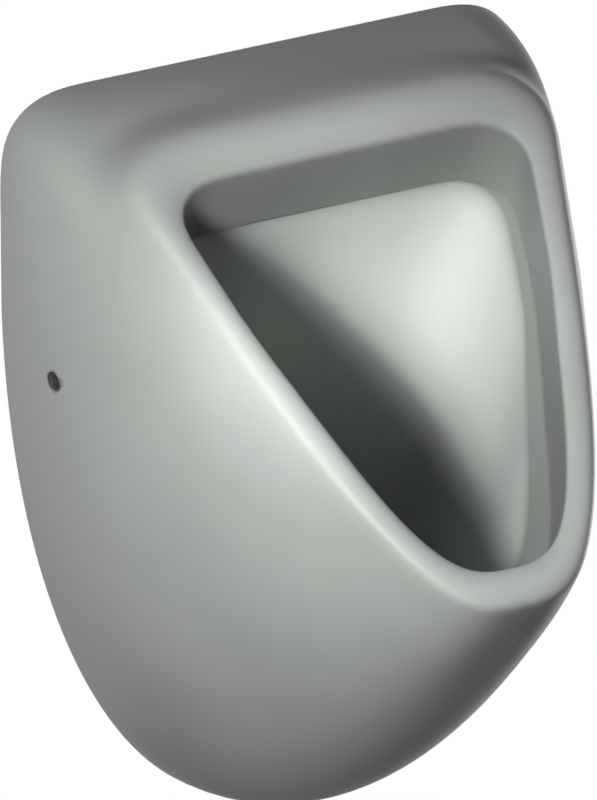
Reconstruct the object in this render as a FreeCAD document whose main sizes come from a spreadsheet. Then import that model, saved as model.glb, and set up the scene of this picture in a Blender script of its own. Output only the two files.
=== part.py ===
import FreeCAD, Part
import math
import os
import re
import Sketcher

# Wall-hung urinal in glazed ceramic with a hidden inlet and a hidden waste trap.
# Millimetres. X to the right, +Y into the wall, +Z up. The wall plane is Y = 0, and the origin
# lies on it, half way between the side fixing holes. In the names, f is the distance in front
# of the wall (f = -Y), r a radius and z a height above the side fixing holes.

doc = FreeCAD.newDocument("urinal")
sheet = doc.addObject("Spreadsheet::Sheet", "sizes")

SIZES = [
    ("half_width", 170),  # half the width of the ceramic at the wall
    ("top_z", 160),  # top edge at the wall
    ("bottom_z", -326),  # lowest point at the wall
    ("wide_z", 25),  # height of the widest line of the wall outline
    ("back_corner", 38),  # radius of the upper corners at the wall
    ("back_power", 2.12),  # fullness of the lower wall outline, 2 is an ellipse
    ("back_taper", 0.0002),  # share of width lost for each millimetre below the widest line
    ("rim_top_f", 80),  # top edge of the rim plane
    ("rim_top_z", 157),
    ("rim_low_f", 330),  # lip, the lowest point of the rim plane
    ("rim_low_z", -62),
    ("rim_wide", 112),  # from the rim's top edge down to the middle of its outline
    ("rim_half", 119),  # half the width of the rim at the middle of its outline
    ("rim_corner", 50),  # radius of the rim's upper corners
    ("rim_power", 3.4),  # fullness of the rim's lower outline
    ("rim_taper", 0.0021),  # share of width gained for each millimetre above the middle
    ("draft_top", 0.02),  # slope of the outside where it leaves the wall, at top, sides and bottom
    ("draft_side", 0.07),
    ("draft_low", 0.15),
    ("turn_top", 51),  # degrees by which the outside leans in where it meets the rim
    ("turn_side", 25),
    ("turn_low", 3),
    ("reach_wall", 0.33),  # how far the outside keeps its wall direction, as a share of the span
    ("reach_wall_low", 0.24),
    ("reach_rim", 0.22),  # how far it keeps its rim direction
    ("reach_rim_low", 0.16),
    ("round_top", 22),  # length of the rounding outside the rim
    ("round_side", 12),
    ("round_low", 12),
    ("rim_width_top", 34),  # width of the rim face
    ("rim_width_side", 18),
    ("rim_width_low", 27),
    ("rim_crown", 1.5),  # rise of the rim face
    ("rim_roll", 1.2),  # drop of the rim face where it rolls into the opening
    ("band_back", 22),  # band inside the opening, back and down from the rim to its sharp lower edge
    ("band_down", 46),
    ("band_out", 4),  # the band's lower edge is wider than the rim by this on each side
    ("strip_back_top", 20),  # recess behind the lower edge of the band
    ("strip_back_side", 4),
    ("strip_back_low", 24),
    ("strip_in", 5),
    ("drain_f", 92),  # axis of the drain
    ("drain_z", -147),  # mouth of the drain
    ("mouth_r", "flange_r + recess_play + recess_margin"),  # radius at which the bowl ends
    ("dish_top", 16),  # how far the bowl bulges behind a straight cone
    ("dish_side", 40),
    ("dish_low", 14),
    ("wall", 10),  # thickness of the ceramic
    ("wall_low", 14),  # thickness of its underside
    ("front_top", 0.3),  # how far the rear hollow reaches forward, as a share of the outside
    ("front_side", 0.75),
    ("front_low", 0.55),
    ("boss_margin", 4),
    ("boss_r", "back_nut_r + boss_margin"),  # flat underside round the drain
    ("boss_thick", 12),
    ("recess_play", 1),  # gap round the flange in the drain recess
    ("recess_margin", 1),  # flat ring between the bowl and the drain recess
    ("recess_depth", 4),
    ("drain_play", 0.5),  # gap round the waste tube in the ceramic
    ("drain_hole_r", "flange_tube_r + drain_play"),
    ("slot_back_f", 50),  # flush channel behind the top of the band
    ("slot_front_f", 76),
    ("slot_cover", 18),  # from the top edge down to the flush channel
    ("slot_top_z", "top_z - slot_cover"),
    ("slot_below", 21),  # from the inlet down to the floor of the channel
    ("slot_floor_z", "inlet_z - slot_below"),
    ("slot_lip_f", 66),
    ("slot_lip_z", 84),
    ("slot_half", 72),
    ("inlet_cover", 39),  # from the top edge down to the inlet
    ("inlet_z", "top_z - inlet_cover"),  # axis of the flush inlet
    ("inlet_boss_margin", 6),
    ("inlet_boss_r", "inlet_seal_r + inlet_boss_margin"),
    ("inlet_seat_f", 34),
    ("inlet_seat_margin", 2),  # flat ring round the seal of the inlet
    ("inlet_seal_wall", 4.5),  # rubber between the spigot and the ceramic
    ("inlet_hole_r", "inlet_neck_r + inlet_seal_wall"),
    ("fix_f", 53),  # side fixing holes
    ("sleeve_wall", 1.4),  # plastic and play round the side screw
    ("fix_hole_r", "fix_screw_r + sleeve_wall"),
    ("fix_edge", 0.8),  # countersink at the mouth of a side hole
    ("spot_margin", 2),
    ("spot_r", "sleeve_flange_r + spot_margin"),  # flat round the side holes inside
    ("spot_depth", 2),
    ("fit", 0.3),  # clearance of a sliding fit
    ("thread_gap", 0.15),  # clearance drawn between mating threads
    ("ring_play", 0.1),  # clearance of a rubber ring in its groove
    ("bracket_gap", 15),  # from the ceramic's inside to the bracket
    ("bracket_thick", 4),
    ("bracket_width", 56),
    ("bracket_height", 72),
    ("bracket_past", 19),  # length of the leg past the side screw
    ("bracket_reach", "fix_f + bracket_past"),
    ("bracket_bend", 4),  # inner bend radius
    ("bracket_hole_r", 4.5),
    ("bracket_hole_in", 32),  # from the side leg to the wall holes
    ("bracket_hole_half", 22),  # half the height between the wall holes
    ("fix_screw_r", 4),
    ("fix_screw_sink", 5),  # depth of the screw's end below the ceramic's outside
    ("fix_screw_out", 2.5),  # length of screw past the nut
    ("key_wall", 1.7),
    ("key_r", "fix_screw_r - key_wall"),
    ("key_depth", 5),
    ("sleeve_flange_width", 3.6),
    ("sleeve_flange_r", "fix_hole_r + sleeve_flange_width"),
    ("sleeve_flange", 2),
    ("sleeve_sink", 1),  # depth of the sleeve's end below the ceramic's outside
    ("fix_nut_wall", 3.5),
    ("fix_nut_r", "fix_screw_r + fix_nut_wall"),
    ("fix_nut_thick", 6.5),
    ("pipe_gap_f", 4),  # rear end of the inlet and outlet sockets, in front of the wall
    ("inlet_pipe_r", 14),
    ("inlet_socket_f", 24),
    ("inlet_seal_thick", 4),  # flange of the inlet seal
    ("inlet_shoulder_f", "inlet_seat_f - inlet_seal_thick"),
    ("inlet_socket_wall", 2),
    ("inlet_socket_r", "inlet_pipe_r + fit + inlet_groove_deep + inlet_socket_wall"),
    ("inlet_neck_r", 11),
    ("inlet_neck_wall", 2.5),
    ("inlet_bore_r", "inlet_neck_r - inlet_neck_wall"),
    ("inlet_groove_f", 8),
    ("inlet_groove", 5),
    ("inlet_groove_deep", 2.2),
    ("lip", 0.8),  # height of the sealing lip of a lip ring
    ("inlet_seal_flange", 8.5),
    ("inlet_seal_r", "inlet_hole_r + inlet_seal_flange"),
    ("inlet_end_f", 63),
    ("inlet_washer", 1.5),
    ("inlet_washer_lap", 2),  # cover of the washer over the inlet hole
    ("inlet_washer_r", "inlet_hole_r + inlet_washer_lap"),
    ("inlet_nut_wall", 7),
    ("inlet_nut_r", "inlet_neck_r + inlet_nut_wall"),
    ("inlet_nut_thick", 6),
    ("head_skirt", 3),
    ("head_r", "inlet_neck_r + head_skirt"),
    ("head_gap", 1),  # from the spray head to the front of the flush channel
    ("head_face_f", "slot_front_f - head_gap"),
    ("head_wall", 2.5),
    ("head_hole_r", 1.5),
    ("head_hole_step", 3.4),
    ("head_hole_fan", 32),
    ("ring_round", 1.2),  # section radius of the spray head ring
    ("top_gasket", 2),
    ("gasket_inset", 0.5),
    ("top_gasket_r", "flange_r - gasket_inset"),
    ("flange_lip", 7.5),  # width of the flange round its tube
    ("flange_r", "flange_tube_r + flange_lip"),
    ("flange_thick", 3),
    ("flange_edge", 1.5),
    ("flange_tube_r", 30.5),
    ("flange_seat", 6),  # from the bowl's end down to the seat of the insert
    ("flange_ledge", 3),  # seat of the insert
    ("flange_mouth_r", "flange_bore_r + flange_ledge"),
    ("flange_wall", 5),
    ("flange_bore_r", "flange_tube_r - flange_wall"),
    ("tube_gap", 2),  # from the end of the tube to the floor of the collar
    ("clamp_stack", "boss_thick + low_gasket + back_nut_thick + housing_seal"),
    ("flange_tube_end", "clamp_stack + housing_collar - tube_gap"),
    ("low_gasket", 3),
    ("low_gasket_width", 13.5),
    ("low_gasket_r", "flange_tube_r + low_gasket_width"),
    ("back_nut_width", 15.5),
    ("back_nut_r", "flange_tube_r + back_nut_width"),
    ("back_nut_thick", 8),
    ("back_nut_notch", 5),
    ("housing_seal", 2),
    ("collar_wall", 5.5),
    ("housing_collar_r", "flange_tube_r + collar_wall"),
    ("housing_collar", 11),
    ("collar_step", 2),
    ("cup_r", "housing_collar_r - collar_step"),
    ("cup_wall", 5),
    ("cup_bore_r", "cup_r - cup_wall"),
    ("dip_gap", 7),  # water passage under the dip tube
    ("cup_floor", "dip_end + dip_gap"),
    ("cup_floor_thick", 3),
    ("cup_edge", 5),
    ("outlet_drop", 54),  # from the drain mouth down to the axis of the outlet
    ("outlet_neck_wall", 3),
    ("outlet_neck_r", "outlet_bore_r + outlet_neck_wall"),
    ("outlet_bore_r", 16),
    ("outlet_pipe_r", 25),
    ("outlet_socket_f", 40),
    ("outlet_step", 5),
    ("outlet_wall", 3.3),
    ("outlet_groove_f", 8),
    ("outlet_groove", 7),
    ("outlet_groove_deep", 3),
    ("outlet_bead", 4),
    ("insert_flange", 3),
    ("insert_wall", 5),
    ("insert_bore_r", "flange_bore_r - insert_wall"),
    ("dip_step", 1),
    ("dip_r", "insert_bore_r + dip_step"),
    ("dip_wall", 2.5),
    ("dip_bore_r", "dip_r - dip_wall"),
    ("dip_start", 30),
    ("dip_taper", 6),
    ("dip_end", 96),
    ("insert_groove", 14),  # from the drain mouth down to the middle of the ring groove
    ("insert_ring_round", 1.4),
    ("strainer_thick", 2.5),
    ("strainer_hub_r", "insert_bore_r * 12 / 41"),
    ("strainer_hub", 3),
    ("strainer_hole_r", "insert_bore_r * 4.4 / 41"),
    ("strainer_ring_one", "insert_bore_r * 19 / 41"),
    ("strainer_ring_two", "insert_bore_r * 31 / 41"),
    ("strainer_skirt", 6),
    ("strainer_skirt_thick", 1.6),
]

ALIASES = []


def enter(alias, value):
    """Gives a number, or a formula of other aliases, its row and its alias in the sheet."""
    row = len(ALIASES) + 1
    sheet.set("A%d" % row, alias)
    sheet.set("B%d" % row, "=" + value if isinstance(value, str) else "%.7g" % value)
    sheet.setAlias("B%d" % row, alias)
    ALIASES.append(alias)


for name, value in SIZES:
    enter(name, value)
doc.recompute()


def size(alias):
    """Value of one cell of the sheet."""
    return float(getattr(sheet, alias))


def bound(text):
    """Expression in which every alias points at its cell of the sheet."""
    def cell(match):
        word = match.group(0)
        return "sizes." + word if word in ALIASES else word
    return re.sub(r"[a-z][a-z_]*", cell, text)


# Ceramic body. Each surface is one B-spline whose control loops run round the drain and rim axis.

LOOP_POINTS = 64
ANGLES = [2 * math.pi * i / LOOP_POINTS for i in range(LOOP_POINTS)]
RIGHT = FreeCAD.Vector(1, 0, 0)
FORWARD = FreeCAD.Vector(0, -1, 0)
UP = FreeCAD.Vector(0, 0, 1)


def by_angle(cosine, top, side, low):
    """Value that changes smoothly from the top of a loop over its sides to its bottom."""
    end = top if cosine > 0 else low
    return side + (end - side) * cosine ** 2


def shield(angle, half, above, below, corner, power, taper):
    """Point of an outline: rounded rectangle above its middle, superellipse below, tapered sides."""
    across = max(abs(math.sin(angle)), 1e-12)
    along = math.cos(angle)
    if along > 0:
        reach = min(half / across, above / max(along, 1e-12))
        flat_x = half - corner
        flat_y = above - corner
        if reach * across > flat_x and reach * along > flat_y:
            middle = across * flat_x + along * flat_y
            gap = flat_x ** 2 + flat_y ** 2 - corner ** 2
            reach = middle + math.sqrt(max(middle ** 2 - gap, 0))
    else:
        reach = ((across / half) ** power + (abs(along) / below) ** power) ** (-1 / power)
    rise = reach * along
    return math.copysign(reach * across, math.sin(angle)) * (1 + taper * rise), rise


rim_run = FORWARD * (size("rim_low_f") - size("rim_top_f")) + UP * (size("rim_low_z") - size("rim_top_z"))
rim_length = rim_run.Length
rim_down = rim_run / rim_length
rim_out = FORWARD * -rim_down.z + UP * (rim_down * FORWARD)
rim_middle = FORWARD * size("rim_top_f") + UP * size("rim_top_z") + rim_down * size("rim_wide")


def wall_point(angle, inset):
    """Point of the outline at the wall, moved inwards by inset."""
    taper = size("back_taper") if math.cos(angle) < 0 else 0
    x, rise = shield(angle, size("half_width") - inset, size("top_z") - size("wide_z") - inset,
                     size("wide_z") - size("bottom_z") - inset, size("back_corner") - inset,
                     size("back_power"), taper)
    return RIGHT * x + UP * (size("wide_z") + rise)


def rim_width(angle):
    """Width of the rim face, full along the straight top edge and changing at the corners."""
    share = 1 - math.sin(angle) ** 4
    end = size("rim_width_top") if math.cos(angle) > 0 else size("rim_width_low")
    return size("rim_width_side") + (end - size("rim_width_side")) * share


def rim_point(angle, share, lift=0):
    """Point of the rim face, moved inwards by a share of its width and out of the rim plane by lift."""
    width = rim_width(angle)
    side = size("rim_width_side")
    across = side if math.cos(angle) > 0 else width
    above = size("rim_wide") - share * size("rim_width_top")
    x, rise = shield(angle, size("rim_half") - share * across, above,
                     rim_length - size("rim_wide") - share * width, size("rim_corner") - share * side,
                     size("rim_power"), size("rim_taper"))
    return rim_middle + RIGHT * x - rim_down * rise + rim_out * lift


def between(start, end, share):
    return start + (end - start) * share


def band_at(angle):
    """Way from the inside of the rim to the sharp lower edge of the band."""
    inwards = FORWARD * size("band_back") + UP * size("band_down")
    return RIGHT * (size("band_out") * math.sin(angle)) - inwards


def outside_line(angle):
    """Control points from the wall over the rim to the sharp lower edge of the band."""
    sine, cosine = math.sin(angle), math.cos(angle)
    slope = by_angle(cosine, size("draft_top"), size("draft_side"), size("draft_low"))
    leave = (FORWARD - (RIGHT * sine + UP * cosine) * slope).normalize()
    outward = RIGHT * sine - rim_down * cosine
    lean = math.radians(by_angle(cosine, size("turn_top"), size("turn_side"), size("turn_low")))
    arrive = rim_out * math.cos(lean) - outward * math.sin(lean)
    start = wall_point(angle, 0)
    edge = rim_point(angle, 0)
    lip = rim_point(angle, 1)
    band = band_at(angle)
    span = (edge - start).Length
    near_wall = span * by_angle(cosine, size("reach_wall"), size("reach_wall"), size("reach_wall_low"))
    near_rim = span * by_angle(cosine, size("reach_rim"), size("reach_rim"), size("reach_rim_low"))
    rounding = by_angle(cosine, size("round_top"), size("round_side"), size("round_low"))
    return [start, start + leave * near_wall, edge - arrive * (rounding + near_rim),
            edge - arrive * rounding, edge, rim_point(angle, 0.48, size("rim_crown")),
            rim_point(angle, 0.94, -size("rim_roll")), lip + band * 0.1, lip + band * 0.55, lip + band]


def bowl_line(angle):
    """Control points from the lower edge of the band through the dish to the drain."""
    sine, cosine = math.sin(angle), math.cos(angle)
    band = band_at(angle)
    edge = rim_point(angle, 1) + band
    inward = rim_down * cosine - RIGHT * sine
    back = by_angle(cosine, size("strip_back_top"), size("strip_back_side"), size("strip_back_low"))
    crease = edge - FORWARD * back + inward * size("strip_in")
    margin = rim_width(angle) + size("strip_in")
    reach = (size("rim_wide") if cosine > 0 else rim_length - size("rim_wide")) - margin
    middle = rim_middle + band - FORWARD * back
    oval = middle + RIGHT * ((size("rim_half") - margin) * sine) - rim_down * (reach * cosine)
    drain = FORWARD * size("drain_f") + UP * size("drain_z")
    mouth = drain + (RIGHT * sine - FORWARD * cosine) * size("mouth_r")
    bulge = by_angle(cosine, size("dish_top"), size("dish_side"), size("dish_low"))
    dish = []
    for share, roundness, depth in ((0.03, 0.05, 0.1), (0.12, 0.45, 0.55), (0.3, 0.9, 1), (0.55, 1, 1),
                                    (0.8, 1, 0.6)):
        dish.append(between(between(crease, oval, roundness), mouth, share) - rim_out * (bulge * depth))
    return [edge, between(edge, crease, 0.4), between(edge, crease, 0.85), crease] + dish + [mouth]


outside_net = [outside_line(angle) for angle in ANGLES]
bowl_net = [bowl_line(angle) for angle in ANGLES]


def behind(net, i, k, depth):
    """Control point k of line i, moved into the ceramic by depth along the net's normal."""
    around = net[(i + 1) % LOOP_POINTS][k] - net[i - 1][k]
    along = net[i][k + 1] - net[i][k - 1]
    return net[i][k] + along.cross(around).normalize() * -depth


def hollow_line(i):
    """Control points of the rear hollow, from behind the wall plane to the flat under the drain."""
    sine, cosine = math.sin(ANGLES[i]), math.cos(ANGLES[i])
    wall = size("wall")
    skin = by_angle(cosine, wall, wall, size("wall_low"))
    base = wall_point(ANGLES[i], wall)
    near = behind(outside_net, i, 1, skin)
    far = behind(outside_net, i, 2, skin)
    front = between(near, far, by_angle(cosine, size("front_top"), size("front_side"), size("front_low")))
    dish = [behind(bowl_net, i, k, wall) for k in (6, 7, 8)]
    flat = RIGHT * (size("boss_r") * sine) + FORWARD * (size("drain_f") - size("boss_r") * cosine)
    flat += UP * (size("drain_z") - size("boss_thick"))
    return [base - FORWARD * wall, base, near, front, between(front, dish[0], 0.5)] + dish + [flat]


def skin_face(net):
    """Face of a cubic B-spline, closed round the loops and clamped along the lines."""
    lines = len(net[0])
    surface = Part.BSplineSurface()
    loop_knots = list(range(LOOP_POINTS + 1))
    line_knots = list(range(lines - 2))
    surface.buildFromPolesMultsKnots(net, [1] * len(loop_knots), [4] + [1] * (lines - 4) + [4],
                                     loop_knots, line_knots, True, False, 3, 3)
    return surface


def closed_solid(surfaces, open_ends):
    """Solid bounded by surfaces that share edges, with flat caps on the open end curves."""
    faces = [surface.toShape() for surface in surfaces]
    for curve in open_ends:
        faces.append(Part.Face(Part.Wire([curve.toShape()])))
    shell = Part.makeShell(faces)
    shell.sewShape()
    solid = Part.makeSolid(shell)
    if solid.Volume < 0:
        solid.reverse()
    return solid


outside = skin_face(outside_net)
bowl = skin_face(bowl_net)
hollow = skin_face([hollow_line(i) for i in range(LOOP_POINTS)])
full = closed_solid([outside, bowl], [outside.vIso(0), bowl.vIso(len(bowl_net[0]) - 3)])
void = closed_solid([hollow], [hollow.vIso(0), hollow.vIso(6)])

ceramic_shell = doc.addObject("Part::Feature", "ceramic_shell")
ceramic_shell.Shape = full.cut(void)

# Where the axis of a side fixing hole passes through the ceramic's side.
probe = Part.makeLine(FORWARD * size("fix_f"), FORWARD * size("fix_f") + RIGHT * size("half_width") * 2)
side_wall = max(ceramic_shell.Shape.common(probe).Edges, key=lambda edge: edge.BoundBox.XMax)
enter("side_outer_x", side_wall.BoundBox.XMax)
enter("side_inner_x", side_wall.BoundBox.XMin)
doc.recompute()

TO_FRONT = FreeCAD.Rotation(RIGHT, 90)
TO_RIGHT = FreeCAD.Rotation(FreeCAD.Vector(0, 1, 0), 90)
UPRIGHT = FreeCAD.Rotation()


def place(item, turn, at):
    """Turns an object and binds its place to the sheet."""
    item.Placement = FreeCAD.Placement(FreeCAD.Vector(), turn)
    for axis, text in zip("xyz", at):
        item.setExpression("Placement.Base." + axis, bound(text))
    return item


def primitive(kind, name, lengths, turn, at):
    """Part primitive whose lengths and place are bound to the sheet."""
    item = doc.addObject("Part::" + kind, name)
    for prop, text in lengths.items():
        item.setExpression(prop, bound(text))
    return place(item, turn, at)


def cylinder(name, radius, height, turn, at):
    return primitive("Cylinder", name, {"Radius": radius, "Height": height}, turn, at)


def hexagon(name, radius, height, turn, at):
    return primitive("Prism", name, {"Circumradius": radius, "Height": height}, turn, at)


def combine(kind, name, base, tool):
    """Boolean of two objects: Cut or Fuse."""
    item = doc.addObject("Part::" + kind, name)
    item.Base = base
    item.Tool = tool
    return item


def joined(name, shapes):
    item = doc.addObject("Part::MultiFuse", name)
    item.Shapes = shapes
    return item


def pair(name, right):
    """Right-hand piece and its mirror image as two solids of one object."""
    left = mirrored("left_" + name, right)
    item = doc.addObject("Part::Compound", name)
    item.Links = [right, left]
    return item


def mirrored(name, right):
    item = doc.addObject("Part::Mirroring", name)
    item.Source = right
    item.Normal = RIGHT
    return item


def origin_plane(body, role):
    return [feature for feature in body.Origin.OriginFeatures if feature.Role == role][0]


def outline_sketch(body, role, corners):
    """Closed sketch on an origin plane, every corner held by two bound distances."""
    sketch = body.newObject("Sketcher::SketchObject", body.Name + "_outline")
    sketch.AttachmentSupport = [(origin_plane(body, role), "")]
    sketch.MapMode = "FlatFace"
    count = len(corners)
    start = [FreeCAD.Vector(math.cos(2 * math.pi * i / count), math.sin(2 * math.pi * i / count), 0)
             for i in range(count)]
    for i in range(count):
        sketch.addGeometry(Part.LineSegment(start[i], start[(i + 1) % count]))
    for i in range(count):
        sketch.addConstraint(Sketcher.Constraint("Coincident", i, 2, (i + 1) % count, 1))
    for i, texts in enumerate(corners):
        for direction, text in zip(("DistanceX", "DistanceY"), texts):
            number = sketch.addConstraint(Sketcher.Constraint(direction, -1, 1, i, 1, 1.0))
            sketch.setExpression("Constraints[%d]" % number, bound(text))
    return sketch


def circle_sketch(body, role, across, up, radius):
    """Sketch of one circle on an origin plane."""
    sketch = body.newObject("Sketcher::SketchObject", body.Name + "_circle")
    sketch.AttachmentSupport = [(origin_plane(body, role), "")]
    sketch.MapMode = "FlatFace"
    sketch.addGeometry(Part.Circle(FreeCAD.Vector(1, 1, 0), FreeCAD.Vector(0, 0, 1), 1))
    for constraint, text in ((Sketcher.Constraint("DistanceX", -1, 1, 0, 3, 1.0), across),
                             (Sketcher.Constraint("DistanceY", -1, 1, 0, 3, 1.0), up),
                             (Sketcher.Constraint("Radius", 0, 1.0), radius)):
        number = sketch.addConstraint(constraint)
        sketch.setExpression("Constraints[%d]" % number, bound(text))
    return sketch


def turned(name, corners, turn, at):
    """Body of revolution from (radius, height) corners, placed with its axis along Z before the turn."""
    body = doc.addObject("PartDesign::Body", name)
    sketch = outline_sketch(body, "XZ_Plane", corners)
    revolution = body.newObject("PartDesign::Revolution", name + "_turned")
    revolution.Profile = sketch
    revolution.ReferenceAxis = (sketch, ["V_Axis"])
    revolution.Angle = 360
    return place(body, turn, at)


def ring(name, inner, outer, low, high, turn, at):
    return turned(name, [(inner, low), (outer, low), (outer, high), (inner, high)], turn, at)


def extruded(name, role, corners, length):
    """Body padded from an outline, half its length to each side of the plane."""
    body = doc.addObject("PartDesign::Body", name)
    pad = body.newObject("PartDesign::Pad", name + "_pad")
    pad.Profile = outline_sketch(body, role, corners)
    pad.SideType = "Symmetric"
    pad.setExpression("Length", bound(length))
    body.Tip = pad
    return body


def drilled(body, role, across, up, radius):
    """Cuts one hole right through a body."""
    pocket = body.newObject("PartDesign::Pocket", body.Name + "_hole")
    pocket.Profile = circle_sketch(body, role, across, up, radius)
    pocket.Type = "ThroughAll"
    pocket.SideType = "Symmetric"
    body.Tip = pocket
    return pocket


def repeated(body, feature, count):
    """Repeats a feature round the Z axis of its body."""
    pattern = body.newObject("PartDesign::PolarPattern", feature.Name + "_pattern")
    pattern.Originals = [feature]
    pattern.Axis = ([item for item in body.Origin.OriginFeatures if item.Role == "Z_Axis"][0], [""])
    pattern.Angle = 360
    pattern.Occurrences = count
    body.Tip = pattern
    return pattern


# Openings of the ceramic: drain with a recess, flush channel and inlet hole, side fixing holes.

AT_INLET = ("0", "0", "inlet_z")
AT_DRAIN = ("0", "-drain_f", "drain_z")
inlet_boss = cylinder("inlet_boss", "inlet_boss_r", "slot_back_f - inlet_seat_f + wall", TO_FRONT,
                      ("0", "-inlet_seat_f", "inlet_z"))
ceramic_raw = combine("Fuse", "ceramic_raw", ceramic_shell, inlet_boss)
flush_channel = extruded("flush_channel", "YZ_Plane",
                         [("-slot_back_f", "slot_top_z"), ("-slot_front_f", "slot_top_z"),
                          ("-slot_front_f", "slot_lip_z"), ("-slot_lip_f", "slot_lip_z"),
                          ("-slot_back_f", "slot_floor_z")], "2 * slot_half")
inlet_seat = cylinder("inlet_seat", "inlet_seal_r + inlet_seat_margin", "inlet_seat_f", TO_FRONT, AT_INLET)
inlet_hole = cylinder("inlet_hole", "inlet_hole_r", "slot_front_f - wall", TO_FRONT, AT_INLET)
drain_hole = cylinder("drain_hole", "drain_hole_r", "2 * boss_thick", UPRIGHT,
                      ("0", "-drain_f", "drain_z - 1.5 * boss_thick"))
drain_recess = cylinder("drain_recess", "mouth_r - recess_margin", "boss_thick", UPRIGHT,
                        ("0", "-drain_f", "drain_z - recess_depth"))
side_cut = turned("side_cut",
                  [("0", "side_inner_x - wall"), ("spot_r", "side_inner_x - wall"),
                   ("spot_r", "side_inner_x + spot_depth"), ("fix_hole_r", "side_inner_x + spot_depth"),
                   ("fix_hole_r", "side_outer_x - fix_edge"),
                   ("fix_hole_r + 2 * fix_edge", "side_outer_x + fix_edge"),
                   ("0", "side_outer_x + fix_edge")], TO_RIGHT, ("0", "-fix_f", "0"))
openings = joined("openings", [flush_channel, inlet_seat, inlet_hole, drain_hole, drain_recess, side_cut,
                               mirrored("left_side_cut", side_cut)])
ceramic_body = combine("Cut", "ceramic_body", ceramic_raw, openings)

# Wall brackets of bent steel. Their outer legs stand inside the ceramic's sides.

LEG_X = "(side_inner_x - bracket_gap)"
right_wall_bracket = extruded("right_wall_bracket", "XY_Plane",
                              [(LEG_X + " - bracket_width", "0"), (LEG_X, "0"), (LEG_X, "-bracket_reach"),
                               (LEG_X + " - bracket_thick", "-bracket_reach"),
                               (LEG_X + " - bracket_thick", "-bracket_thick"),
                               (LEG_X + " - bracket_width", "-bracket_thick")], "bracket_height")
doc.recompute()


def bend_edges(shape, x, y):
    """Names of the upright edges that stand at x, y."""
    names = []
    for number, edge in enumerate(shape.Edges, 1):
        box = edge.BoundBox
        upright = box.ZLength > box.XLength + box.YLength
        if upright and math.hypot(box.Center.x - x, box.Center.y - y) < 0.01:
            names.append("Edge%d" % number)
    return names


leg_x = size("side_inner_x") - size("bracket_gap")
thick = size("bracket_thick")
for name, x, y, radius in (("inner_bend", leg_x - thick, -thick, "bracket_bend"),
                           ("outer_bend", leg_x, 0, "bracket_bend + bracket_thick")):
    flat = right_wall_bracket.Tip
    bend = right_wall_bracket.newObject("PartDesign::Fillet", name)
    bend.Base = (flat, bend_edges(flat.Shape, x, y))
    bend.setExpression("Radius", bound(radius))
    right_wall_bracket.Tip = bend
    doc.recompute()
for height in ("bracket_hole_half", "-bracket_hole_half"):
    drilled(right_wall_bracket, "XZ_Plane", LEG_X + " - bracket_hole_in", height, "bracket_hole_r")
drilled(right_wall_bracket, "YZ_Plane", "-fix_f", "0", "fix_screw_r + fit")
left_wall_bracket = mirrored("left_wall_bracket", right_wall_bracket)

# Side fixings: a socket set screw in a nut on the bracket, its end in a plastic sleeve in the side hole.

SCREW_START = LEG_X + " - bracket_thick - fix_nut_thick - fix_screw_out"
SCREW_END = "(side_outer_x - fix_screw_sink)"
screw_rod = cylinder("screw_rod", "fix_screw_r", SCREW_END + " - (" + SCREW_START + ")", TO_RIGHT,
                     (SCREW_START, "-fix_f", "0"))
screw_key = hexagon("screw_key", "key_r", "2 * key_depth", TO_RIGHT,
                    (SCREW_END + " - key_depth", "-fix_f", "0"))
fixing_screws = pair("fixing_screws", combine("Cut", "right_fixing_screw", screw_rod, screw_key))
NUT_X = LEG_X + " - bracket_thick - fix_nut_thick"
nut_block = hexagon("nut_block", "fix_nut_r", "fix_nut_thick", TO_RIGHT, (NUT_X, "-fix_f", "0"))
nut_thread = cylinder("nut_thread", "fix_screw_r + thread_gap", "3 * fix_nut_thick", TO_RIGHT,
                      (NUT_X + " - fix_nut_thick", "-fix_f", "0"))
bracket_nuts = pair("bracket_nuts", combine("Cut", "right_bracket_nut", nut_block, nut_thread))
sleeve_corners = [("fix_screw_r + thread_gap", "spot_depth - sleeve_flange"),
                  ("sleeve_flange_r", "spot_depth - sleeve_flange"), ("sleeve_flange_r", "spot_depth"),
                  ("fix_hole_r - fit", "spot_depth"),
                  ("fix_hole_r - fit", "side_outer_x - side_inner_x - sleeve_sink"),
                  ("fix_screw_r + thread_gap", "side_outer_x - side_inner_x - sleeve_sink")]
fixing_sleeves = pair("fixing_sleeves", turned("right_fixing_sleeve", sleeve_corners, TO_RIGHT,
                                               ("side_inner_x", "-fix_f", "0")))

# Flush inlet: a spigot takes the flush pipe from the wall, passes the rubber seal in the ceramic,
# and carries the nut and the spray head inside the flush channel.

SOCKET = "(inlet_pipe_r + fit)"
SOCKET_GROOVE = "(inlet_pipe_r + fit + inlet_groove_deep)"
INLET_GROOVE_END = "(inlet_groove_f + inlet_groove)"
inlet_spigot = turned("inlet_spigot",
                      [(SOCKET, "pipe_gap_f"), ("inlet_socket_r", "pipe_gap_f"),
                       ("inlet_socket_r", "inlet_shoulder_f"),
                       ("inlet_neck_r", "inlet_shoulder_f"), ("inlet_neck_r", "inlet_end_f"),
                       ("inlet_bore_r", "inlet_end_f"), ("inlet_bore_r", "inlet_socket_f"),
                       (SOCKET, "inlet_socket_f"), (SOCKET, INLET_GROOVE_END),
                       (SOCKET_GROOVE, INLET_GROOVE_END), (SOCKET_GROOVE, "inlet_groove_f"),
                       (SOCKET, "inlet_groove_f")], TO_FRONT, AT_INLET)


def lip_ring(name, pipe_r, groove_r, start, end, at):
    """Rubber ring that fills a socket's groove and ends inwards in a lip."""
    inner = pipe_r + " + fit / 2"
    outer = groove_r + " - ring_play"
    rear = start + " + ring_play"
    front = end + " - ring_play"
    return turned(name, [(inner + " + lip", rear), (outer, rear), (outer, front), (inner + " + lip", front),
                         (inner, "(" + start + " + " + end + ") / 2")], TO_FRONT, at)


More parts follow.
